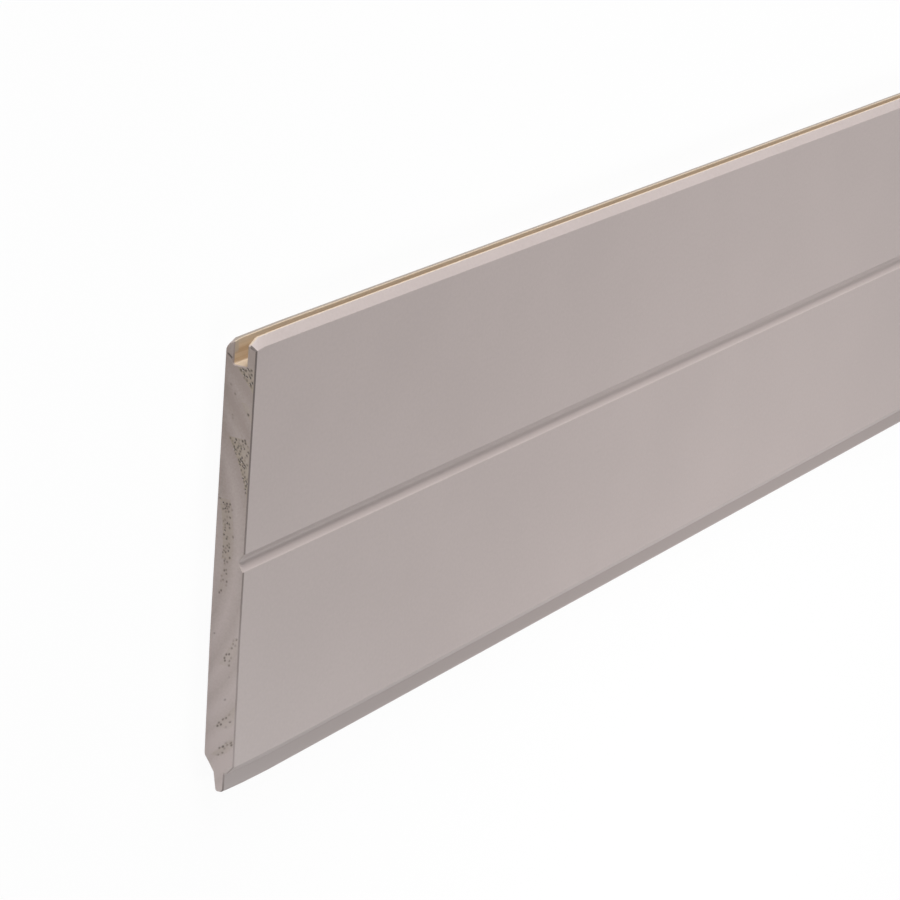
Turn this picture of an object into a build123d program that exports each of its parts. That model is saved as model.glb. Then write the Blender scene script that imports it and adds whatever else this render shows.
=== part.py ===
from build123d import *
import os

# A planed softwood cladding board with a tongue and a groove, lying on its back with its face up.
# X runs along the board, Y across it from the tongue to the groove, Z from its back to its face.
# Lengths are millimetres. The origin is under the middle of the board, on the plane of its back.

# Stock
board_length = 2050.0
board_thickness = 10.0
cover_width = 128.5  # shoulder to front lip, the pitch of laid boards

# Bevels of the face, which make a V between two laid boards
bevel_width = 2.6
bevel_depth = 2.0

# Tongue, flat in front and tapered behind
tongue_length = 6.2
tongue_root = 3.6
tongue_tip = 2.6
tongue_round = 1.1
back_bevel_width = 4.8  # slope from the back up to the root of the tongue
back_bevel_round = 2.0

# Groove, between a front lip and a shorter back lip
groove_depth = 8.3
groove_round = 0.5
front_clearance = 0.2  # from the tongue to the front lip of the next board
back_clearance = 0.6  # from the tongue to the back lip of the next board
lip_end = 0.8  # flat end of the front lip, which butts on the shoulder
back_lip_setback = 1.1
back_lip_round = 2.0

# V groove along the middle of the face, like the V between two laid boards
centre_width = 5.2
centre_depth = 2.0
centre_round = 0.4

# Sharp edges as planing and paint ease them
edge_round = 0.25

# Places across the board
overall_width = cover_width + tongue_length
tip_y = -overall_width / 2
shoulder_y = tip_y + tongue_length
lip_y = shoulder_y + cover_width
back_lip_y = lip_y - back_lip_setback
groove_floor_y = lip_y - groove_depth
face_low_y = shoulder_y + bevel_width
face_high_y = lip_y - bevel_width
centre_y = (face_low_y + face_high_y) / 2
back_low_y = shoulder_y + back_bevel_width

# Heights above the back
bevel_z = board_thickness - bevel_depth
groove_high_z = bevel_z - lip_end
groove_low_z = groove_high_z - front_clearance - tongue_root - back_clearance
tongue_high_z = groove_high_z - front_clearance
root_low_z = tongue_high_z - tongue_root
tip_low_z = tongue_high_z - tongue_tip
centre_z = board_thickness - centre_depth

# Corners of the section, as (y, z)
tongue_end = [(tip_y, tip_low_z), (tip_y, tongue_high_z)]
shoulder_foot = [(shoulder_y, tongue_high_z)]
low_bevel = [(shoulder_y, bevel_z), (face_low_y, board_thickness)]
centre_low_edge = [(centre_y - centre_width / 2, board_thickness)]
centre_bottom = [(centre_y, centre_z)]
centre_high_edge = [(centre_y + centre_width / 2, board_thickness)]
high_bevel = [(face_high_y, board_thickness), (lip_y, bevel_z)]
front_lip_inside = [(lip_y, groove_high_z)]
groove_floor = [(groove_floor_y, groove_high_z), (groove_floor_y, groove_low_z)]
back_lip_inside = [(back_lip_y, groove_low_z)]
back_lip_outside = [(back_lip_y, 0)]
back_low_edge = [(back_low_y, 0)]
tongue_foot = [(shoulder_y, root_low_z)]

tongue_side = tongue_end + shoulder_foot + low_bevel
face_middle = centre_low_edge + centre_bottom + centre_high_edge
groove_side = high_bevel + front_lip_inside + groove_floor + back_lip_inside
back_side = back_lip_outside + back_low_edge + tongue_foot

eased_face = low_bevel + high_bevel + centre_low_edge + centre_high_edge
eased_lips = front_lip_inside + back_lip_inside

# Rounds stay inside the walls that carry them
tongue_end_radius = min(tongue_round, tongue_tip / 2.2)
back_lip_radius = min(back_lip_round, 0.75 * groove_low_z)
lip_radius = min(edge_round, lip_end / 3, groove_low_z / 5)


def corners(sketch, points):
    return [sketch.vertices().sort_by_distance(point)[0] for point in points]


with BuildPart() as board:
    with BuildSketch(Plane.YZ) as section:
        with BuildLine():
            Polyline(*tongue_side, *face_middle, *groove_side, *back_side, close=True)
        make_face()
        fillet(corners(section, tongue_end), tongue_end_radius)
        fillet(corners(section, centre_bottom), centre_round)
        fillet(corners(section, groove_floor), groove_round)
        fillet(corners(section, back_lip_outside), back_lip_radius)
        fillet(corners(section, back_low_edge), back_bevel_round)
        fillet(corners(section, eased_face), edge_round)
        fillet(corners(section, eased_lips), lip_radius)
    extrude(amount=board_length / 2, both=True)

board.part.label = "cladding_board"

os.makedirs("parts", exist_ok=True)
export_step(board.part, "parts/cladding_board.step")
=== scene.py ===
import math

import bmesh
import bpy
import numpy as np
from mathutils import Matrix, Vector
from mathutils.geometry import delaunay_2d_cdt


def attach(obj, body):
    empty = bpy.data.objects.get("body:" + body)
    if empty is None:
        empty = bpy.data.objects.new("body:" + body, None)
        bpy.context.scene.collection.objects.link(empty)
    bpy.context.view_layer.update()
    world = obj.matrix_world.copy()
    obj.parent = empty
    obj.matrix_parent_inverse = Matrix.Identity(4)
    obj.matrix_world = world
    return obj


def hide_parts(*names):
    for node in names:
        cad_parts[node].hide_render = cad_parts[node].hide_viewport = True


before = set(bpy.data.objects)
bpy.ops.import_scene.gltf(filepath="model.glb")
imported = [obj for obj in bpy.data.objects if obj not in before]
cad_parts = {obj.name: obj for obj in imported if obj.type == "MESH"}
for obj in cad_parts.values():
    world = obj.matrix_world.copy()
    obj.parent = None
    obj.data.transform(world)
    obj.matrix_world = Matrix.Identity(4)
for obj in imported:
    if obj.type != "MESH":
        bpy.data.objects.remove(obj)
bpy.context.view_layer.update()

mm = 0.001


def toLinear(hexColour):  # sRGB hex to the linear colour that a socket takes
    channels = [int(hexColour[i:i + 2], 16) / 255 for i in (1, 3, 5)]
    linear = [c / 12.92 if c <= 0.04045 else ((c + 0.055) / 1.055) ** 2.4 for c in channels]
    return (*linear, 1.0)


def perSize(sizeMm):  # texture scale for a pattern of this size, on coordinates in metres
    return 1000.0 / sizeMm


def addNode(tree, kind, inputs=None, **settings):  # sets or links the inputs, gives the outputs
    node = tree.nodes.new(kind)
    for name, value in settings.items():
        setattr(node, name, value)
    for key, value in (inputs or {}).items():
        socket = node.inputs[key]
        if isinstance(value, bpy.types.NodeSocket):
            tree.links.new(value, socket)
        else:
            socket.default_value = value
    return node.outputs


# Section of the board in millimetres, as the solid has it apart from the round of the V
boardSizes = {
    "length": 2050.0,
    "thickness": 10.0,
    "coverWidth": 128.5,
    "bevelWidth": 2.6,
    "bevelDepth": 2.0,
    "tongueLength": 6.2,
    "tongueRoot": 3.6,
    "tongueTip": 2.6,
    "tongueRound": 1.1,
    "backBevelWidth": 4.8,
    "backBevelRound": 2.0,
    "grooveDepth": 8.3,
    "grooveRound": 0.5,
    "frontClearance": 0.2,
    "backClearance": 0.6,
    "lipEnd": 0.8,
    "backLipSetback": 1.1,
    "backLipRound": 2.0,
    "centreWidth": 5.2,
    "centreDepth": 2.0,
    "centreRound": 1.6,  # rounder than the cutter left it, because paint gathered there
    "edgeRound": 0.25,
    "bareFloor": 0.05,  # bare wood starts this far under the floor of the groove
    "bareLow": 0.3,  # this far over the inner edge of the back lip
    "bareHigh": 0.1,  # and stops this far below the bevel
    "cell": 0.3,  # spacing of points round the section
    "sharpAngle": 35.0,  # edges that turn by more degrees stay crisp
}


# From here on s stands for sizes, p for places, e for ends, f for a finish, g for the stage, c for the camera
def sectionPlaces(s):  # places across the board (y) and heights (z), in millimetres
    p = {}
    p["tipY"] = -(s["coverWidth"] + s["tongueLength"]) / 2
    p["shoulderY"] = p["tipY"] + s["tongueLength"]
    p["lipY"] = -p["tipY"]
    p["backLipY"] = p["lipY"] - s["backLipSetback"]
    p["grooveFloorY"] = p["lipY"] - s["grooveDepth"]
    p["faceLowY"] = p["shoulderY"] + s["bevelWidth"]
    p["faceHighY"] = p["lipY"] - s["bevelWidth"]
    p["centreY"] = (p["faceLowY"] + p["faceHighY"]) / 2
    p["backLowY"] = p["shoulderY"] + s["backBevelWidth"]
    p["bevelZ"] = s["thickness"] - s["bevelDepth"]
    p["grooveHighZ"] = p["bevelZ"] - s["lipEnd"]
    p["tongueHighZ"] = p["grooveHighZ"] - s["frontClearance"]
    p["rootLowZ"] = p["tongueHighZ"] - s["tongueRoot"]
    p["tipLowZ"] = p["tongueHighZ"] - s["tongueTip"]
    p["grooveLowZ"] = p["rootLowZ"] - s["backClearance"]
    p["centreZ"] = s["thickness"] - s["centreDepth"]
    return p


def sectionCorners(s, p):  # (y, z, radius) round the section, anticlockwise seen from the +X end
    top, eased, middle = s["thickness"], s["edgeRound"], p["centreY"]
    wide = s["centreWidth"] / 2
    corners = [
        (p["backLowY"], 0.0, s["backBevelRound"]),
        (p["backLipY"], 0.0, s["backLipRound"]),
        (p["backLipY"], p["grooveLowZ"], eased),
        (p["grooveFloorY"], p["grooveLowZ"], s["grooveRound"]),
        (p["grooveFloorY"], p["grooveHighZ"], s["grooveRound"]),
        (p["lipY"], p["grooveHighZ"], eased),
        (p["lipY"], p["bevelZ"], eased),
        (p["faceHighY"], top, eased),
        (middle + wide, top, eased),
        (middle, p["centreZ"], s["centreRound"]),
        (middle - wide, top, eased),
        (p["faceLowY"], top, eased),
        (p["shoulderY"], p["bevelZ"], eased),
        (p["shoulderY"], p["tongueHighZ"], 0.0),
        (p["tipY"], p["tongueHighZ"], s["tongueRound"]),
        (p["tipY"], p["tipLowZ"], s["tongueRound"]),
        (p["shoulderY"], p["rootLowZ"], 0.0),
    ]
    return corners


def roundCorner(before, corner, after, radius, steps=5):  # points of the arc that rounds one corner
    if radius == 0:
        return [corner]
    toBefore = (before - corner).normalized()
    toAfter = (after - corner).normalized()
    half = toBefore.angle(toAfter) / 2
    start = corner + toBefore * radius / math.tan(half)
    centre = corner + (toBefore + toAfter).normalized() * radius / math.sin(half)
    turn = (corner + toAfter * radius / math.tan(half) - centre).angle_signed(start - centre)
    spoke = start - centre
    return [centre + Matrix.Rotation(turn * i / steps, 2) @ spoke for i in range(steps + 1)]


def sectionOutline(s, p):  # closed outline with rounded corners, filled in to the cell spacing
    corners = [(Vector((y, z)), r) for y, z, r in sectionCorners(s, p)]
    outline = []
    for i, (corner, radius) in enumerate(corners):
        before = corners[i - 1][0]
        after = corners[(i + 1) % len(corners)][0]
        outline += roundCorner(before, corner, after, radius)
    filled = []
    for i, point in enumerate(outline):
        following = outline[(i + 1) % len(outline)]
        pieces = max(1, round((following - point).length / s["cell"]))
        filled += [point.lerp(following, k / pieces) for k in range(pieces)]
    return filled


places = sectionPlaces(boardSizes)
outline = sectionOutline(boardSizes, places)
print("section", len(outline), "points")

# Sawn ends: what cutting and handling did to them, in millimetres
endSizes = {
    "easeIn": 0.2,  # arris rubbed off in the plane of the end
    "backEaseIn": 0.45,  # more at the back, which the saw leaves last
    "backEaseFrom": 3.0,  # height where that starts
    "backEaseOver": 2.0,
    "lipEaseIn": 0.55,  # and at the bevel of the front lip, which was knocked
    "lipEaseClear": 0.1,  # clear of the bevel's rounded edges
    "lipEaseOver": 0.6,
    "easeAlong": 0.5,  # and along the board
    "endCell": 0.22,  # spacing of points over the sawn end
    "endFacing": 0.9,  # how squarely a face of the end looks along the board
    "stations": 31,  # rings of points along the board, closer towards its ends
    "grading": 2.8,
    "lipDrop": 1.9,  # knocked corner of the front lip at the near end
    "lipDropLength": 3.6,
    "lipDropHeight": 3.6,
    "lipMargin": 0.1,  # how far into the groove a lip is still taken for a lip
    "lipSlope": 0.35,  # both lips run down towards the near end
    "lipSlopeLength": 22.0,
    "backLipDrop": 0.4,  # knocked corner of the back lip, more on its back
    "backLipRoll": 1.9,
    "backLipDropLength": 3.6,
    "backLipDropHeight": 5.0,
    "tongueDrop": 1.1,  # worn corner of the tongue at the near end
    "tongueDropLength": 28.0,
    "tongueDropFrom": -45.0,
    "tongueSkew": 1.0,  # how far the saw wandered at the tongue
    "tongueSkewFrom": -20.0,
    "faceArrisDark": 0.25,  # share of the dark line on the face's arris at the tongue edge
    "faceArrisDarkRise": 0.75,  # and how much more there is at the groove edge
    "tongueArrisDark": 0.3,  # the same for the front of the tongue, from its root to its tip
    "tongueArrisDarkRise": 0.5,
    "tongueArrisDarkFrom": 0.6,
    "tongueArrisDarkDepth": 0.5,
    "pithY": 6.0,  # the heart of the log, behind the board
    "pithZ": -52.0,
    "ringSpacing": 6.6,
    "ringStart": 57.2,
    "pitLength": 0.47,
    "pitWidth": 0.4,
    "pitCore": 0.45,  # share of a pit that has its full depth
    "pitDepth": 0.15,
    "pitLeast": 0.55,  # share of the depth where the grain is hardly torn
    "pitUneven": 1.1,  # size of the patches with deeper and shallower pits
    "patchLow": 0.35,  # noise at the shallowest and at the deepest patches
    "patchHigh": 0.6,
    "patchLeast": 0.3,  # share of the depth in the shallowest patches
    "pitGap": 0.68,  # from pit to pit where the grain is torn
    "pitDensity": 9.0,  # pits per square millimetre there, at most
    "looseShare": 0.008,  # and how many of them elsewhere
    "seed": 7,
    # Soft early wood that the saw tore: radius of its ring, across the board from and to, width, share
    "tornBands": [
        (77.0, 51.5, 59.2, 4.0, 1.0),
        (72.2, 42.0, 49.0, 1.5, 0.5),
        (67.2, 41.0, 48.0, 1.8, 0.12),
        (63.7, 20.5, 38.6, 5.0, 1.0),
        (54.8, 3.0, 20.5, 3.6, 0.7),
        (55.5, -7.0, 3.0, 2.6, 0.3),
        (65.3, -28.0, -19.0, 3.0, 0.4),
        (76.4, -47.0, -39.0, 3.4, 0.4),
        (82.4, -56.0, -50.0, 2.4, 0.5),
    ],
    "tornFade": 0.5,  # how much less is torn at the outer side of a band
    "splits": [((61.8, 1.0), (60.6, 2.6))],  # hair cracks, from place to place
    "splitWidth": 0.4,
}


def addGroup(name, inputs):  # geometry tree with named inputs, given as (name, kind, value)
    tree = bpy.data.node_groups.new(name, "GeometryNodeTree")
    tree.interface.new_socket("Geometry", in_out="INPUT", socket_type="NodeSocketGeometry")
    for label, kind, value in inputs:
        socket = tree.interface.new_socket(label, in_out="INPUT", socket_type="NodeSocket" + kind)
        if value is not None:
            socket.default_value = value
    tree.interface.new_socket("Geometry", in_out="OUTPUT", socket_type="NodeSocketGeometry")
    return tree


def runGroup(piece, tree, values):  # runs a tree on a piece and keeps the result as a plain mesh
    modifier = piece.modifiers.new(tree.name, "NODES")
    modifier.node_group = tree
    identifiers = {s.name: s.identifier for s in tree.interface.items_tree if s.in_out == "INPUT"}
    for label, value in values.items():
        modifier[identifiers[label]] = value
    evaluated = piece.evaluated_get(bpy.context.evaluated_depsgraph_get())
    mesh = bpy.data.meshes.new_from_object(evaluated)
    piece.modifiers.remove(modifier)
    return mesh


def addHelper(name, data):  # an object that a tree reads, removed once the tree has run
    helper = bpy.data.objects.new(name, data)
    bpy.context.scene.collection.objects.link(helper)
    return helper


def sectionCurve(points):  # closed curve of the section, across the board as x and height as y
    curve = bpy.data.curves.new("boardSection", "CURVE")
    curve.dimensions = "3D"
    spline = curve.splines.new("POLY")
    spline.points.add(len(points) - 1)
    for target, point in zip(spline.points, points):
        target.co = (point.x * mm, point.y * mm, 0.0, 1.0)
    spline.use_cyclic_u = True
    return addHelper("boardSection", curve)


def sweepTree():  # draws the section along the board and gives each run of faces its finish
    tree = addGroup("boardSweep", [
        ("Section", "Object", None),
        ("Length", "Float", 1.0),
        ("Stations", "Int", 9),
        ("Grading", "Float", 2.0),
        ("End ring", "Float", 0.0),
        ("Groove floor", "Float", 0.0),
        ("Groove low", "Float", 0.0),
        ("Groove high", "Float", 0.0),
        ("Painted face", "Material", None),
        ("Bare groove", "Material", None),
        ("Sawn end", "Material", None),
    ])
    given = addNode(tree, "NodeGroupInput")
    position = addNode(tree, "GeometryNodeInputPosition")[0]
    at = addNode(tree, "ShaderNodeSeparateXYZ", {0: position})
    side = addNode(tree, "ShaderNodeMath", {0: at["X"]}, operation="SIGN")[0]
    reach = addNode(tree, "ShaderNodeMath", {0: at["X"]}, operation="ABSOLUTE")[0]

    # Stations from -1 to 1 are drawn towards the ends, then spread over the length
    half = addNode(tree, "ShaderNodeMath", {0: given["Length"], 1: 0.5}, operation="MULTIPLY")[0]
    line = addNode(tree, "GeometryNodeCurvePrimitiveLine", {"Start": (-1, 0, 0), "End": (1, 0, 0)})[0]
    stations = addNode(tree, "GeometryNodeResampleCurve", {"Curve": line, "Count": given["Stations"]})[0]
    left = addNode(tree, "ShaderNodeMath", {0: 1.0, 1: reach}, operation="SUBTRACT")[0]
    graded = addNode(tree, "ShaderNodeMath", {0: left, 1: given["Grading"]}, operation="POWER")[0]
    taken = addNode(tree, "ShaderNodeMath", {0: 1.0, 1: graded}, operation="SUBTRACT")[0]
    signed = addNode(tree, "ShaderNodeMath", {0: taken, 1: side}, operation="MULTIPLY")[0]
    placeX = addNode(tree, "ShaderNodeMath", {0: signed, 1: half}, operation="MULTIPLY")[0]
    place = addNode(tree, "ShaderNodeCombineXYZ", {"X": placeX})[0]
    rail = addNode(tree, "GeometryNodeSetPosition", {"Geometry": stations, "Position": place})[0]

    # The sweep turns a section over, so it is turned beforehand
    profile = addNode(tree, "GeometryNodeObjectInfo", {"Object": given["Section"]})["Geometry"]
    upright = addNode(tree, "GeometryNodeTransform", {"Geometry": profile, "Rotation": (0, 0, math.pi)})[0]
    swept = addNode(tree, "GeometryNodeCurveToMesh", {
        "Curve": rail, "Profile Curve": upright, "Fill Caps": False})[0]
    solid = addNode(tree, "GeometryNodeRealizeInstances", {0: swept})[0]

    # Paint all over, bare wood in the groove, and the sawn finish on the eased ends
    painted = addNode(tree, "GeometryNodeSetMaterial", {
        "Geometry": solid, "Material": given["Painted face"]})[0]
    inGroove = addNode(tree, "FunctionNodeCompare", {
        "A": at["Y"], "B": given["Groove floor"]}, operation="GREATER_EQUAL")[0]
    overBack = addNode(tree, "FunctionNodeCompare", {
        "A": at["Z"], "B": given["Groove low"]}, operation="GREATER_THAN")[0]
    underFront = addNode(tree, "FunctionNodeCompare", {
        "A": at["Z"], "B": given["Groove high"]}, operation="LESS_THAN")[0]
    between = addNode(tree, "FunctionNodeBooleanMath", {0: overBack, 1: underFront}, operation="AND")[0]
    bare = addNode(tree, "FunctionNodeBooleanMath", {0: inGroove, 1: between}, operation="AND")[0]
    grooved = addNode(tree, "GeometryNodeSetMaterial", {
        "Geometry": painted, "Selection": bare, "Material": given["Bare groove"]})[0]
    atEnd = addNode(tree, "FunctionNodeCompare", {
        "A": reach, "B": given["End ring"]}, operation="GREATER_THAN")[0]
    finished = addNode(tree, "GeometryNodeSetMaterial", {
        "Geometry": grooved, "Selection": atEnd, "Material": given["Sawn end"]})[0]
    addNode(tree, "NodeGroupOutput", {0: finished})
    return tree


def ramp(distance, over):  # from 0 to 1 over a distance
    return min(1.0, max(0.0, distance / over))


def insetOutline(points, p, e):  # the same outline, moved into the wood
    moved = []
    for i, point in enumerate(points):
        along = points[(i + 1) % len(points)] - points[i - 1]
        towardsBack = ramp(e["backEaseFrom"] - point.y, e["backEaseOver"])
        towardsLip = ramp(point.x - p["faceHighY"] - e["lipEaseClear"], e["lipEaseOver"])
        onBevel = ramp(point.y - p["bevelZ"] - e["lipEaseClear"], e["lipEaseOver"])
        depth = e["easeIn"] + (e["backEaseIn"] - e["easeIn"]) * towardsBack
        depth += (e["lipEaseIn"] - e["easeIn"]) * towardsLip * onBevel
        moved.append(point + Vector((-along.y, along.x)).normalized() * depth)
    return moved


def endGrid(points, cell):  # staggered points inside an outline, clear of its edge
    rowGap = cell * 0.87
    edgeGap = cell * 0.7
    blocks = 40  # tested in blocks, to keep the arrays small
    edge = np.array([tuple(p) for p in points])
    following = np.roll(edge, -1, axis=0)
    low, high = edge.min(axis=0), edge.max(axis=0)
    rows = np.arange(low[1], high[1], rowGap)
    columns = np.arange(low[0], high[0], cell)
    grid = np.array([(y + cell / 2 * (k % 2), z) for k, z in enumerate(rows) for y in columns])
    kept = []
    for block in np.array_split(grid, blocks):
        y, z = block[:, :1], block[:, 1:]
        crosses = (edge[:, 1] > z) != (following[:, 1] > z)
        rise = np.where(following[:, 1] == edge[:, 1], 1.0, following[:, 1] - edge[:, 1])
        crossY = edge[:, 0] + (z - edge[:, 1]) / rise * (following[:, 0] - edge[:, 0])
        inside = (crosses & (y < crossY)).sum(axis=1) % 2 == 1
        clear = np.hypot(y - edge[:, 0], z - edge[:, 1]).min(axis=1) > edgeGap
        kept += [Vector(p) for p in block[inside & clear]]
    return kept


def squeeze(place, foot, tip, drop):  # moves a tip back by a drop, with its foot where it was
    if (place - foot) * (tip - foot) <= 0:
        return place
    return foot + (place - foot) * (1 - drop / abs(tip - foot))


def endShare(fromEnd, reach):  # 1 at the near end, down to 0 where the wear stops
    return max(0.0, 1 - fromEnd / reach)


def wearEnd(co, s, p, e):  # knocks the corners of the near end, in millimetres
    fromEnd = co.x / mm + s["length"] / 2
    y, z = co.y / mm, co.z / mm
    frontLeft = endShare(fromEnd, e["lipDropLength"])
    backLeft = endShare(fromEnd, e["backLipDropLength"])
    tongueLeft = endShare(fromEnd, e["tongueDropLength"])
    slope = e["lipSlope"] * endShare(fromEnd, e["lipSlopeLength"])
    if z > p["grooveHighZ"] - e["lipMargin"]:
        y = squeeze(y, p["lipY"] - e["lipDropHeight"], p["lipY"], e["lipDrop"] * frontLeft + slope)
    elif z < p["grooveLowZ"] + e["lipMargin"]:
        onBack = max(0.0, 1 - z / p["grooveLowZ"])
        drop = (e["backLipDrop"] + e["backLipRoll"] * onBack ** 2) * backLeft + slope
        y = squeeze(y, p["backLipY"] - e["backLipDropHeight"], p["backLipY"], drop)
    towardsFront = min(1.0, z / p["tongueHighZ"])
    y = squeeze(y, e["tongueDropFrom"], p["tipY"], e["tongueDrop"] * towardsFront * tongueLeft ** 2)
    skew = max(0.0, (e["tongueSkewFrom"] - y) / (e["tongueSkewFrom"] - p["tipY"]))
    co.x += e["tongueSkew"] * skew * tongueLeft * mm
    co.y = y * mm


def tornShare(point, e):  # how much the saw tore the grain at a place on the end
    radius = math.hypot(point.x - e["pithY"], point.y - e["pithZ"])
    most = 0.0
    for ring, fromY, toY, width, share in e["tornBands"]:
        across = (radius - ring) / width
        if fromY < point.x < toY and 0 < across < 1:
            most = max(most, share * (1 - e["tornFade"] * across))
    return most


def arrisShare(point, s, p, e):  # how dark a line the arrises of the end get, on the face and the tongue's front
    if point.y > p["bevelZ"] and abs(point.x - p["centreY"]) > s["centreWidth"] / 2:
        return e["faceArrisDark"] + e["faceArrisDarkRise"] * (point.x - p["tipY"]) / (p["lipY"] - p["tipY"])
    onTongue = point.x < p["shoulderY"] - e["tongueArrisDarkFrom"]
    if onTongue and point.y > p["tongueHighZ"] - e["tongueArrisDarkDepth"]:
        return e["tongueArrisDark"] + e["tongueArrisDarkRise"] * (p["shoulderY"] - point.x) / s["tongueLength"]
    return 0.0


def fillEnd(eased, inner):  # triangles over an end, and the point that each of their corners came from
    insideOnly = 1
    tolerance = 1e-7
    found = delaunay_2d_cdt(eased + inner, [], [list(range(len(eased)))], insideOnly, tolerance)
    return found[2], found[3]


def capBoard(mesh, section, s, p, e):  # eases the end rings, closes the ends, marks arrises and torn grain
    count, half = len(section), s["length"] / 2
    eased = insetOutline(section, p, e)
    inner = endGrid(eased, e["endCell"])
    triangles, origins = fillEnd(eased, inner)
    board = bmesh.new()
    board.from_mesh(mesh)
    board.verts.ensure_lookup_table()
    arris = board.verts.layers.float.new("arris")
    torn = board.verts.layers.float.new("torn")
    easedRing = board.verts.layers.float.new("easedRing")
    allRings = list(board.verts)
    for first, side in ((0, -1), ((e["stations"] - 1) * count, 1)):
        ring = allRings[first:first + count]
        nextRing = allRings[first - side * count:][:count]
        for vert, beside, point, corner in zip(ring, nextRing, eased, section):
            vert.co = (side * half * mm, point.x * mm, point.y * mm)
            vert[arris] = beside[arris] = arrisShare(corner, s, p, e)
            beside[easedRing] = 1.0
        added = [board.verts.new((side * half * mm, q.x * mm, q.y * mm)) for q in inner]
        for vert, point in zip(added, inner):
            vert[torn] = tornShare(point, e)
        endVerts = ring + added
        for triangle in triangles:
            corners = [endVerts[origins[i][0]] for i in triangle]
            board.faces.new(corners[::side])
    for vert in board.verts:
        wearEnd(vert.co, s, p, e)
    if board.calc_volume(signed=True) < 0:
        bmesh.ops.reverse_faces(board, faces=board.faces)
    for face in board.faces:
        face.smooth = True
    board.to_mesh(mesh)
    board.free()


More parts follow.
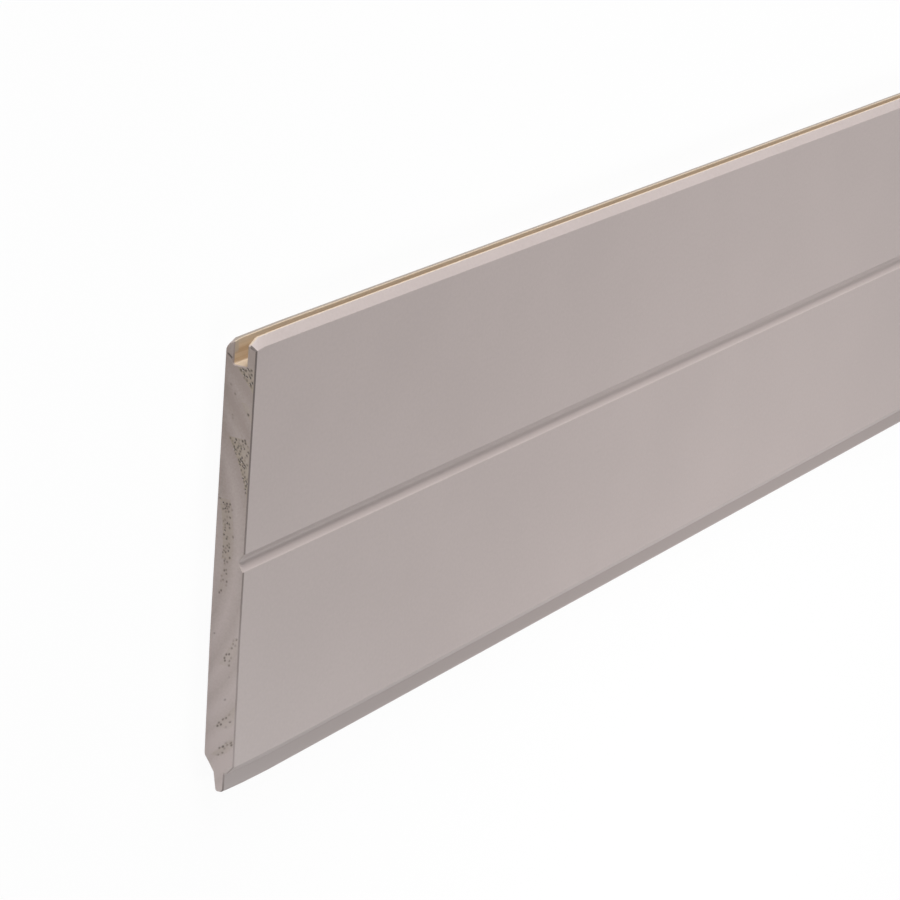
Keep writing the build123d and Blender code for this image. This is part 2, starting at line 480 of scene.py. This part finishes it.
def endPitTree(e):  # tears pits into the soft rings of the sawn ends and opens the splits
    tree = addGroup("tornGrain", [
        ("Splits", "Object", None),
        ("Pith", "Vector", None),
        ("Ring start", "Float", 0.0),
        ("Pit length", "Float", 1.0),
        ("Pit width", "Float", 1.0),
        ("Pit depth", "Float", 1.0),
        ("Patch scale", "Float", 1.0),
        ("Pit gap", "Float", 1.0),
        ("Density", "Float", 1.0),
        ("Loose share", "Float", 0.0),
        ("Split width", "Float", 1.0),
        ("Seed", "Int", 0),
        ("Sawn end", "Material", None),
    ])
    given = addNode(tree, "NodeGroupInput")
    position = addNode(tree, "GeometryNodeInputPosition")[0]
    alongBoard = addNode(tree, "ShaderNodeSeparateXYZ", {0: position})["X"]
    side = addNode(tree, "ShaderNodeMath", {0: alongBoard}, operation="SIGN")[0]
    normal = addNode(tree, "GeometryNodeInputNormal")[0]
    normalX = addNode(tree, "ShaderNodeSeparateXYZ", {0: normal})["X"]
    facing = addNode(tree, "ShaderNodeMath", {0: normalX}, operation="ABSOLUTE")[0]
    onEnd = addNode(tree, "FunctionNodeCompare", {
        "A": facing, "B": e["endFacing"]}, operation="GREATER_THAN")[0]
    flat = addNode(tree, "ShaderNodeVectorMath", {0: position, 1: (0, 1, 1)}, operation="MULTIPLY")[0]
    spoke = addNode(tree, "ShaderNodeVectorMath", {0: flat, 1: given["Pith"]}, operation="SUBTRACT")[0]
    radius = addNode(tree, "ShaderNodeVectorMath", {0: spoke}, operation="LENGTH")["Value"]
    at = addNode(tree, "ShaderNodeSeparateXYZ", {0: spoke})
    angle = addNode(tree, "ShaderNodeMath", {0: at["Y"], 1: at["Z"]}, operation="ARCTAN2")[0]

    # Pits stand close where the grain is torn, and a few elsewhere
    torn = addNode(tree, "GeometryNodeInputNamedAttribute", {"Name": "torn"}, data_type="FLOAT")[0]
    share = addNode(tree, "ShaderNodeMath", {0: torn, 1: given["Loose share"]}, operation="ADD")[0]
    points = addNode(tree, "GeometryNodeDistributePointsOnFaces", {
        "Mesh": given["Geometry"], "Selection": onEnd, "Distance Min": given["Pit gap"],
        "Density Max": given["Density"], "Density Factor": share, "Seed": given["Seed"]},
        distribute_method="POISSON")["Points"]

    # Pits are long round the rings: distances are taken in ring coordinates, one pit long and wide
    apart = 100.0  # keeps the two ends from each other's pits
    roundPith = addNode(tree, "ShaderNodeMath", {0: angle, 1: given["Ring start"]}, operation="MULTIPLY")[0]
    alongRing = addNode(tree, "ShaderNodeMath", {
        0: roundPith, 1: given["Pit length"]}, operation="DIVIDE")[0]
    acrossRing = addNode(tree, "ShaderNodeMath", {0: radius, 1: given["Pit width"]}, operation="DIVIDE")[0]
    farApart = addNode(tree, "ShaderNodeMath", {0: side, 1: apart}, operation="MULTIPLY")[0]
    ringPlace = addNode(tree, "ShaderNodeCombineXYZ", {"X": farApart, "Y": alongRing, "Z": acrossRing})[0]
    pitCentres = addNode(tree, "GeometryNodeSetPosition", {"Geometry": points, "Position": ringPlace})[0]
    toPit = addNode(tree, "GeometryNodeProximity", {
        "Geometry": pitCentres, "Sample Position": ringPlace}, target_element="POINTS")["Distance"]
    pit = addNode(tree, "ShaderNodeMapRange", {
        "Value": toPit, "From Min": e["pitCore"], "From Max": 1.0, "To Min": 1.0, "To Max": 0.0})[0]

    # Pits are deeper where more is torn, and uneven in patches
    tornDeep = addNode(tree, "ShaderNodeMapRange", {
        "Value": torn, "To Min": e["pitLeast"], "To Max": 1.0})[0]
    patches = addNode(tree, "ShaderNodeTexNoise", {
        "Vector": position, "Scale": given["Patch scale"], "Detail": 0.0})["Fac"]
    uneven = addNode(tree, "ShaderNodeMapRange", {
        "Value": patches, "From Min": e["patchLow"], "From Max": e["patchHigh"],
        "To Min": e["patchLeast"], "To Max": 1.0})[0]
    deep = addNode(tree, "ShaderNodeMath", {0: tornDeep, 1: uneven}, operation="MULTIPLY")[0]
    pitted = addNode(tree, "ShaderNodeMath", {0: pit, 1: deep}, operation="MULTIPLY")[0]

    # Splits open along their lines
    splits = addNode(tree, "GeometryNodeObjectInfo", {"Object": given["Splits"]})["Geometry"]
    toSplit = addNode(tree, "GeometryNodeProximity", {
        "Geometry": splits, "Sample Position": flat}, target_element="EDGES")["Distance"]
    split = addNode(tree, "ShaderNodeMapRange", {
        "Value": toSplit, "From Min": 0.0, "From Max": given["Split width"],
        "To Min": 1.0, "To Max": 0.0})[0]
    opened = addNode(tree, "ShaderNodeMath", {0: pitted, 1: split}, operation="MAXIMUM")[0]
    ends = addNode(tree, "ShaderNodeMath", {0: opened, 1: onEnd}, operation="MULTIPLY")[0]

    # The result is kept for the finish, which paints shade into the pits and splits, and sinks the points
    # into the wood
    marked = addNode(tree, "GeometryNodeStoreNamedAttribute", {
        "Geometry": given["Geometry"], "Name": "pit", "Value": ends}, data_type="FLOAT", domain="POINT")[0]
    depth = addNode(tree, "ShaderNodeMath", {0: ends, 1: given["Pit depth"]}, operation="MULTIPLY")[0]
    inward = addNode(tree, "ShaderNodeMath", {0: depth, 1: side}, operation="MULTIPLY")[0]
    backX = addNode(tree, "ShaderNodeMath", {0: inward, 1: -1.0}, operation="MULTIPLY")[0]
    offset = addNode(tree, "ShaderNodeCombineXYZ", {"X": backX})[0]
    sunk = addNode(tree, "GeometryNodeSetPosition", {"Geometry": marked, "Offset": offset})[0]
    solid = addNode(tree, "GeometryNodeRealizeInstances", {0: sunk})[0]
    finished = addNode(tree, "GeometryNodeSetMaterial", {
        "Geometry": solid, "Selection": onEnd, "Material": given["Sawn end"]})[0]
    addNode(tree, "NodeGroupOutput", {0: finished})
    return tree


# Finishes, as sRGB hex and sizes in millimetres
paintFinish = {
    "pale": "#b0a4a1",
    "deep": "#aca09d",
    "shadeLow": 0.75,  # sum of the two noises that gives the deep and the pale tone
    "shadeHigh": 1.25,
    "paintedShade": "#a59996",  # painted shade on the tongue, under the face's edge, and in the V
    "tongueBlend": 0.1,
    "vShare": 0.6,  # how much painted shade lies in the V, on its side towards the tongue, where its upper edge shades it
    "vBlend": 0.5,
    "lip": "#85796e",  # wood shows through on the back lip, darkened further as painted shade
    "lipFrom": 1.2,  # in from the edge of the lip
    "lipFull": 0.6,
    "mottle": 35.0,
    "speckle": 1.1,
    "grain": 0.9,
    "grainLength": 60.0,
    "roughness": 0.45,
    "roughnessSpread": 0.05,
    "relief": 0.02,
    "reliefShare": 0.15,
    "ior": 1.5,
}
pineFinish = {
    "pale": "#d2bda0",
    "deep": "#b99c7c",
    "grain": 0.7,
    "grainLength": 90.0,
    "streakLow": 0.3,  # grain noise at the deep and at the pale tone
    "streakHigh": 0.7,
    "roughness": 0.75,
    "dustAndLight": "#b9aa98",  # grey paint overspray on the lips of the groove, made paler as painted light where the groove lies in shade
    "dustFrom": 63.5,  # across the board
    "dustAndLightShare": 0.85,
    "floorDust": 0.75,  # and how much of it lies on the floor of the groove
    "floorFrom": 0.6,  # out from the floor
    "floorFull": 0.2,
    "run": 2.4,  # how far the paint of the sawn end ran in on the back lip
    "runBlend": 0.5,
    "runFrom": 61.8,
    "runOver": 1.0,
    "relief": 0.05,
    "reliefShare": 0.3,
    "ior": 1.5,
}
sawnFinish = {
    "pale": "#bdb1ae",  # tone at the tongue edge
    "deep": "#9c8f89",  # darker tone at the groove edge
    "toneFrom": 65.0,  # across the board
    "toneTo": -60.0,
    "toneLow": -0.25,  # tone at these two, before the rings and the saw marks
    "toneHigh": 0.75,
    "ring": 0.18,  # how much the rings show through
    "wander": 9.0,  # size of the waves in the rings
    "wanderBy": 1.2,
    # painted shade in the torn pits and the splits
    "pit": "#383029",
    "bare": "#9d917c",  # wood that shows where the grain is torn
    "bareShare": 0.55,
    "arris": "#5f5652",
    "saw": 0.6,
    "sawShare": 0.5,
    "roughness": 0.7,
    "relief": 0.05,
    "reliefShare": 0.3,
    "ior": 1.5,
}


def startMaterial(name):
    material = bpy.data.materials.new(name)
    material.use_nodes = True
    material.node_tree.nodes.clear()
    return material, material.node_tree


def addGrain(tree, f, place, detail):  # noise drawn out along the board, as the grain runs
    across = perSize(f["grain"])
    stretched = addNode(tree, "ShaderNodeMapping", {
        "Vector": place, "Scale": (perSize(f["grainLength"]), across, across)})[0]
    return addNode(tree, "ShaderNodeTexNoise", {
        "Vector": stretched, "Scale": 1.0, "Detail": detail})["Fac"]


def addSurface(tree, f, colour, roughness, height):  # joins a finish into the surface of its material
    relief = addNode(tree, "ShaderNodeBump", {
        "Height": height, "Strength": f["reliefShare"], "Distance": f["relief"] * mm})[0]
    surface = addNode(tree, "ShaderNodeBsdfPrincipled", {
        "Base Color": colour, "Roughness": roughness, "IOR": f["ior"], "Normal": relief})[0]
    addNode(tree, "ShaderNodeOutputMaterial", {"Surface": surface})


def paintedShadeShares(tree, f, s, p, place):  # painted shade on the tongue and in the V, and where wood shows on the back lip with painted shade over it
    at = addNode(tree, "ShaderNodeSeparateXYZ", {0: place})
    onTongue = addNode(tree, "ShaderNodeMapRange", {
        "Value": at["Y"],
        "From Min": (p["shoulderY"] + f["tongueBlend"]) * mm,
        "From Max": (p["shoulderY"] - f["tongueBlend"]) * mm})[0]
    offMiddle = addNode(tree, "ShaderNodeMath", {0: at["Y"], 1: p["centreY"] * mm}, operation="SUBTRACT")[0]
    fromMiddle = addNode(tree, "ShaderNodeMath", {0: offMiddle}, operation="ABSOLUTE")[0]
    half = s["centreWidth"] / 2
    inV = addNode(tree, "ShaderNodeMapRange", {
        "Value": fromMiddle, "From Min": half * mm, "From Max": (half - f["vBlend"]) * mm,
        "To Max": f["vShare"]})[0]
    lowSide = addNode(tree, "ShaderNodeMath", {0: offMiddle, 1: 0.0}, operation="LESS_THAN")[0]
    inLowV = addNode(tree, "ShaderNodeMath", {0: inV, 1: lowSide}, operation="MULTIPLY")[0]
    onFace = addNode(tree, "ShaderNodeMath", {
        0: at["Z"], 1: p["grooveHighZ"] * mm}, operation="GREATER_THAN")[0]
    inFaceV = addNode(tree, "ShaderNodeMath", {0: inLowV, 1: onFace}, operation="MULTIPLY")[0]
    paintedShade = addNode(tree, "ShaderNodeMath", {0: onTongue, 1: inFaceV}, operation="MAXIMUM")[0]
    onLip = addNode(tree, "ShaderNodeMapRange", {
        "Value": at["Y"],
        "From Min": (p["backLipY"] - f["lipFrom"]) * mm,
        "From Max": (p["backLipY"] - f["lipFull"]) * mm})[0]
    behind = addNode(tree, "ShaderNodeMath", {0: 1.0, 1: onFace}, operation="SUBTRACT")[0]
    onBackLip = addNode(tree, "ShaderNodeMath", {0: onLip, 1: behind}, operation="MULTIPLY")[0]
    return paintedShade, onBackLip


def paintMaterial(f, s, p):  # satin water-based paint, brushed thin on planed softwood: even, faintly grained; darker on the tongue and in the V as painted shade
    material, tree = startMaterial("satinPaintOnPine")
    place = addNode(tree, "ShaderNodeTexCoord")["Object"]
    mottle = addNode(tree, "ShaderNodeTexNoise", {
        "Vector": place, "Scale": perSize(f["mottle"]), "Detail": 3.0})["Fac"]
    speckle = addNode(tree, "ShaderNodeTexNoise", {
        "Vector": place, "Scale": perSize(f["speckle"]), "Detail": 1.0})["Fac"]
    grain = addGrain(tree, f, place, 2.0)
    patchy = addNode(tree, "ShaderNodeMath", {0: mottle, 1: speckle}, operation="ADD")[0]
    shade = addNode(tree, "ShaderNodeMapRange", {
        "Value": patchy, "From Min": f["shadeLow"], "From Max": f["shadeHigh"],
        "To Min": 0.0, "To Max": 1.0})[0]
    colour = addNode(tree, "ShaderNodeMix", {
        "Factor": shade, "A": toLinear(f["deep"]), "B": toLinear(f["pale"])}, data_type="RGBA")["Result"]
    paintedShade, onBackLip = paintedShadeShares(tree, f, s, p, place)
    # painted shade on the tongue and on the V's side towards the tongue
    paintedShadeColour = addNode(tree, "ShaderNodeMix", {
        "Factor": paintedShade, "A": colour, "B": toLinear(f["paintedShade"])}, data_type="RGBA")["Result"]
    # wood showing on the back lip, with painted shade over it
    coat = addNode(tree, "ShaderNodeMix", {
        "Factor": onBackLip, "A": paintedShadeColour, "B": toLinear(f["lip"])}, data_type="RGBA")["Result"]
    height = addNode(tree, "ShaderNodeMath", {0: grain, 1: speckle}, operation="ADD")[0]
    gloss = addNode(tree, "ShaderNodeMapRange", {
        "Value": mottle,
        "To Min": f["roughness"] - f["roughnessSpread"],
        "To Max": f["roughness"] + f["roughnessSpread"]})[0]
    addSurface(tree, f, coat, gloss, height)
    return material


def dustAndLightShare(tree, f, s, p, place):  # how grey the groove is: paint overspray on its lips and floor, lightened as painted light, and paint at its ends
    at = addNode(tree, "ShaderNodeSeparateXYZ", {0: place})
    atLip = addNode(tree, "ShaderNodeMapRange", {
        "Value": at["Y"], "From Min": f["dustFrom"] * mm, "From Max": p["backLipY"] * mm,
        "To Max": f["dustAndLightShare"]})[0]
    reach = addNode(tree, "ShaderNodeMath", {0: at["X"]}, operation="ABSOLUTE")[0]
    endAt = s["length"] / 2 - f["run"]
    nearEnd = addNode(tree, "ShaderNodeMapRange", {
        "Value": reach,
        "From Min": (endAt - f["runBlend"]) * mm,
        "From Max": (endAt + f["runBlend"]) * mm})[0]
    high = addNode(tree, "ShaderNodeMapRange", {
        "Value": at["Y"],
        "From Min": f["runFrom"] * mm,
        "From Max": (f["runFrom"] + f["runOver"]) * mm})[0]
    ran = addNode(tree, "ShaderNodeMath", {0: nearEnd, 1: high}, operation="MULTIPLY")[0]
    atFloor = addNode(tree, "ShaderNodeMapRange", {
        "Value": at["Y"],
        "From Min": (p["grooveFloorY"] + f["floorFrom"]) * mm,
        "From Max": (p["grooveFloorY"] + f["floorFull"]) * mm,
        "To Max": f["floorDust"]})[0]
    outside = addNode(tree, "ShaderNodeMath", {0: atLip, 1: ran}, operation="MAXIMUM")[0]
    return addNode(tree, "ShaderNodeMath", {0: outside, 1: atFloor}, operation="MAXIMUM")[0]


def pineMaterial(f, s, p):  # bare pine as the moulding cutter left it: warm, dull, with lines along the grain
    material, tree = startMaterial("planedPine")
    place = addNode(tree, "ShaderNodeTexCoord")["Object"]
    grain = addGrain(tree, f, place, 3.0)
    streak = addNode(tree, "ShaderNodeMapRange", {
        "Value": grain, "From Min": f["streakLow"], "From Max": f["streakHigh"]})[0]
    colour = addNode(tree, "ShaderNodeMix", {
        "Factor": streak, "A": toLinear(f["deep"]), "B": toLinear(f["pale"])}, data_type="RGBA")["Result"]
    grey = dustAndLightShare(tree, f, s, p, place)
    # grey overspray, made paler as painted light in the shaded groove
    dustAndLightColour = addNode(tree, "ShaderNodeMix", {
        "Factor": grey, "A": colour, "B": toLinear(f["dustAndLight"])}, data_type="RGBA")["Result"]
    addSurface(tree, f, dustAndLightColour, f["roughness"], grain)
    return material


def ringTone(tree, f, e, place):  # paler and darker rings round the pith
    flat = addNode(tree, "ShaderNodeVectorMath", {0: place, 1: (0, 1, 1)}, operation="MULTIPLY")[0]
    pith = (0.0, e["pithY"] * mm, e["pithZ"] * mm)
    spoke = addNode(tree, "ShaderNodeVectorMath", {0: flat, 1: pith}, operation="SUBTRACT")[0]
    radius = addNode(tree, "ShaderNodeVectorMath", {0: spoke}, operation="LENGTH")["Value"]
    wander = addNode(tree, "ShaderNodeTexNoise", {
        "Vector": flat, "Scale": perSize(f["wander"]), "Detail": 2.0})["Fac"]
    bent = addNode(tree, "ShaderNodeMath", {
        0: wander, 1: f["wanderBy"] * mm, 2: radius}, operation="MULTIPLY_ADD")[0]
    offStart = addNode(tree, "ShaderNodeMath", {0: bent, 1: e["ringStart"] * mm}, operation="SUBTRACT")[0]
    halfRing = e["ringSpacing"] / 2 * mm
    ring = addNode(tree, "ShaderNodeMath", {0: offStart, 1: halfRing}, operation="PINGPONG")[0]
    return addNode(tree, "ShaderNodeMapRange", {
        "Value": ring, "From Min": 0.0, "From Max": halfRing, "To Min": -f["ring"], "To Max": f["ring"]})[0]


def sawnMaterial(f, e):  # cross-cut pine with a thin coat of the paint: dull, ringed, with painted shade in torn pores and splits
    material, tree = startMaterial("thinPaintOnSawnPine")
    place = addNode(tree, "ShaderNodeTexCoord")["Object"]
    early = ringTone(tree, f, e, place)
    sawMarks = addNode(tree, "ShaderNodeTexNoise", {
        "Vector": place, "Scale": perSize(f["saw"]), "Detail": 2.0})["Fac"]
    across = addNode(tree, "ShaderNodeSeparateXYZ", {0: place})["Y"]
    coat = addNode(tree, "ShaderNodeMapRange", {
        "Value": across, "From Min": f["toneFrom"] * mm, "From Max": f["toneTo"] * mm,
        "To Min": f["toneLow"], "To Max": f["toneHigh"]})[0]
    ringed = addNode(tree, "ShaderNodeMath", {0: coat, 1: early}, operation="ADD")[0]
    tone = addNode(tree, "ShaderNodeMath", {
        0: sawMarks, 1: f["sawShare"], 2: ringed}, operation="MULTIPLY_ADD", use_clamp=True)[0]
    colour = addNode(tree, "ShaderNodeMix", {
        "Factor": tone, "A": toLinear(f["deep"]), "B": toLinear(f["pale"])}, data_type="RGBA")["Result"]
    torn = addNode(tree, "ShaderNodeAttribute", attribute_name="torn")["Fac"]
    bare = addNode(tree, "ShaderNodeMath", {0: torn, 1: f["bareShare"]}, operation="MULTIPLY")[0]
    worn = addNode(tree, "ShaderNodeMix", {
        "Factor": bare, "A": colour, "B": toLinear(f["bare"])}, data_type="RGBA")["Result"]
    # painted shade in the pits and splits
    pit = addNode(tree, "ShaderNodeAttribute", attribute_name="pit")["Fac"]
    pitted = addNode(tree, "ShaderNodeMix", {
        "Factor": pit, "A": worn, "B": toLinear(f["pit"])}, data_type="RGBA")["Result"]
    arris = addNode(tree, "ShaderNodeAttribute", attribute_name="arris")["Fac"]
    edged = addNode(tree, "ShaderNodeMix", {
        "Factor": arris, "A": pitted, "B": toLinear(f["arris"])}, data_type="RGBA")["Result"]
    addSurface(tree, f, edged, f["roughness"], sawMarks)
    return material


def sharpenRings(mesh):  # keeps the shading of the faces flat up to the eased ends
    onRing = [value.value > 0.5 for value in mesh.attributes["easedRing"].data]
    for edge in mesh.edges:
        if all(onRing[i] for i in edge.vertices):
            edge.use_edge_sharp = True


def splitLines(e):  # the splits as lines in the plane of the end, for the tree to measure from
    points = [(0.0, y * mm, z * mm) for split in e["splits"] for y, z in split]
    edges = [(i, i + 1) for i in range(0, len(points), 2)]
    mesh = bpy.data.meshes.new("splits")
    mesh.from_pydata(points, edges, [])
    return addHelper("splits", mesh)


def makeBoard(s, p, e, section, paint, pine, sawn):
    sectionHelper = sectionCurve(section)
    board = bpy.data.objects.new("paintedBoard", bpy.data.meshes.new("paintedBoard"))
    bpy.context.scene.collection.objects.link(board)
    board.data = runGroup(board, sweepTree(), {
        "Section": sectionHelper,
        "Length": s["length"] * mm,
        "Stations": e["stations"],
        "Grading": e["grading"],
        "End ring": (s["length"] / 2 - e["easeAlong"]) * mm,
        "Groove floor": (p["grooveFloorY"] - s["bareFloor"]) * mm,
        "Groove low": (p["grooveLowZ"] - s["bareLow"]) * mm,
        "Groove high": (p["bevelZ"] - s["bareHigh"]) * mm,
        "Painted face": paint,
        "Bare groove": pine,
        "Sawn end": sawn,
    })
    print("board swept", len(board.data.vertices), "points")
    capBoard(board.data, section, s, p, e)
    print("ends closed", len(board.data.polygons), "faces")
    splits = splitLines(e)
    board.data = runGroup(board, endPitTree(e), {
        "Splits": splits,
        "Pith": (0.0, e["pithY"] * mm, e["pithZ"] * mm),
        "Ring start": e["ringStart"] * mm,
        "Pit length": e["pitLength"] * mm,
        "Pit width": e["pitWidth"] * mm,
        "Pit depth": e["pitDepth"] * mm,
        "Patch scale": perSize(e["pitUneven"]),
        "Pit gap": e["pitGap"] * mm,
        "Density": e["pitDensity"] / mm ** 2,
        "Loose share": e["looseShare"],
        "Split width": e["splitWidth"] * mm,
        "Seed": e["seed"],
        "Sawn end": sawn,
    })
    board.data.name = "paintedBoard"
    board.data.set_sharp_from_angle(angle=math.radians(s["sharpAngle"]))
    sharpenRings(board.data)
    for helper in (sectionHelper, splits):
        bpy.data.objects.remove(helper)
    print("grain torn", [m.name for m in board.data.materials])
    return board


paint = paintMaterial(paintFinish, boardSizes, places)
pine = pineMaterial(pineFinish, boardSizes, places)
sawn = sawnMaterial(sawnFinish, endSizes)
board = makeBoard(boardSizes, places, endSizes, outline, paint, pine, sawn)
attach(board, "root")
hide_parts("cladding_board")

# Stage, in metres
stageSizes = {
    "floorDrop": 0.0003,  # just under the board, so that the two don't share a plane
    "floorSize": 30.0,
    "floorColour": "#fbfbfb",
    "floorWhite": 0.95,  # how much of the floor's white the camera sees without shadow
    "sky": 0.24,
}

# Softboxes, in metres, watts and degrees
softboxes = {
    "keySoftbox": {  # beyond the groove edge, for the bevel there
        "place": (-0.8, 1.8, 0.42),
        "aim": (-0.8, 0.0, 0.0),
        "size": (1.8, 0.82),
        "power": 39.5,
        "spread": 180,
    },
    "highSoftbox": {  # over the groove edge
        "place": (-0.5, 1.0, 1.1),
        "aim": (-0.65, 0.0, 0.0),
        "size": (1.4, 0.7),
        "power": 5.6,
        "spread": 180,
    },
    "fillSoftbox": {  # over the tongue edge
        "place": (-0.68, -0.32, 0.4),
        "aim": (-0.68, -0.03, 0.0),
        "size": (0.25, 0.25),
        "power": 1.4,
        "spread": 180,
    },
    "farSoftbox": {  # over the half that the camera doesn't see
        "place": (0.6, 0.1, 0.9),
        "aim": (0.6, 0.0, 0.0),
        "size": (0.7, 0.5),
        "power": 0.5,
        "spread": 60,
    },
    "endSoftbox": {  # on the sawn end
        "place": (-1.65, -0.12, 0.12),
        "aim": (-1.02, 0.0, 0.0),
        "size": (0.25, 0.2),
        "power": 1.25,
        "spread": 180,
    },
}


def seenShare(tree):  # 1 for what the camera sees, also in a mirror or through glass, 0 for other light
    path = addNode(tree, "ShaderNodeLightPath")
    mirrored = addNode(tree, "ShaderNodeMath", {
        0: path["Is Camera Ray"], 1: path["Is Glossy Ray"]}, operation="MAXIMUM")[0]
    return addNode(tree, "ShaderNodeMath", {
        0: mirrored, 1: path["Is Transmission Ray"]}, operation="MAXIMUM")[0]


def makeFloor(g):  # white studio floor that keeps the board's shadow
    floor = bpy.data.objects.new("floor", bpy.data.meshes.new("floor"))
    reach = g["floorSize"] / 2
    corners = [(-reach, -reach), (reach, -reach), (reach, reach), (-reach, reach)]
    floor.data.from_pydata([(x, y, -g["floorDrop"]) for x, y in corners], [], [(0, 1, 2, 3)])
    bpy.context.scene.collection.objects.link(floor)
    material, tree = startMaterial("whiteStudioFloor")
    lit = addNode(tree, "ShaderNodeBsdfDiffuse", {"Color": toLinear(g["floorColour"])})[0]
    white = addNode(tree, "ShaderNodeEmission", {"Strength": 1.0})[0]
    share = addNode(tree, "ShaderNodeMath", {
        0: seenShare(tree), 1: g["floorWhite"]}, operation="MULTIPLY")[0]
    mixed = addNode(tree, "ShaderNodeMixShader", {0: share, 1: lit, 2: white})[0]
    addNode(tree, "ShaderNodeOutputMaterial", {"Surface": mixed})
    floor.data.materials.append(material)


def makeSky(g):  # soft light from all round, white behind the board
    world = bpy.data.worlds.new("studioSky")
    world.use_nodes = True
    tree = world.node_tree
    tree.nodes.clear()
    strength = addNode(tree, "ShaderNodeMapRange", {
        "Value": seenShare(tree), "To Min": g["sky"], "To Max": 1.0})[0]
    sky = addNode(tree, "ShaderNodeBackground", {"Strength": strength})[0]
    addNode(tree, "ShaderNodeOutputWorld", {"Surface": sky})
    bpy.context.scene.world = world


def makeSoftbox(name, place, aim, size, power, spread):
    lamp = bpy.data.lights.new(name, "AREA")
    lamp.shape = "RECTANGLE"
    lamp.size, lamp.size_y = size
    lamp.energy = power
    lamp.spread = math.radians(spread)
    softbox = bpy.data.objects.new(name, lamp)
    softbox.location = place
    softbox.rotation_euler = (Vector(aim) - Vector(place)).to_track_quat("-Z", "Y").to_euler()
    bpy.context.scene.collection.objects.link(softbox)


# Camera, in metres, fitted to the edges of the board; lens and sensor in millimetres
cameraSizes = {
    "place": (-1.8715, 0.34885, 0.5305),
    "right": (0.4949, 0.0727, 0.8659),
    "up": (0.2239, 0.9522, -0.2079),
    "back": (-0.8396, 0.2968, 0.4549),
    "lens": 152.17,
    "sensor": 36.0,
    "clipStart": 0.01,
}


def makeCamera(c):
    data = bpy.data.cameras.new("camera")
    data.lens = c["lens"]
    data.sensor_width = c["sensor"]
    data.clip_start = c["clipStart"]
    camera = bpy.data.objects.new("camera", data)
    turn = Matrix((c["right"], c["up"], c["back"])).transposed().to_4x4()
    camera.matrix_world = Matrix.Translation(c["place"]) @ turn
    bpy.context.scene.collection.objects.link(camera)
    bpy.context.scene.camera = camera


makeFloor(stageSizes)
makeSky(stageSizes)
for name, settings in softboxes.items():
    makeSoftbox(name, **settings)
makeCamera(cameraSizes)
bpy.context.scene.view_settings.view_transform = "Standard"
print("stage lit")

bpy.context.view_layer.update()
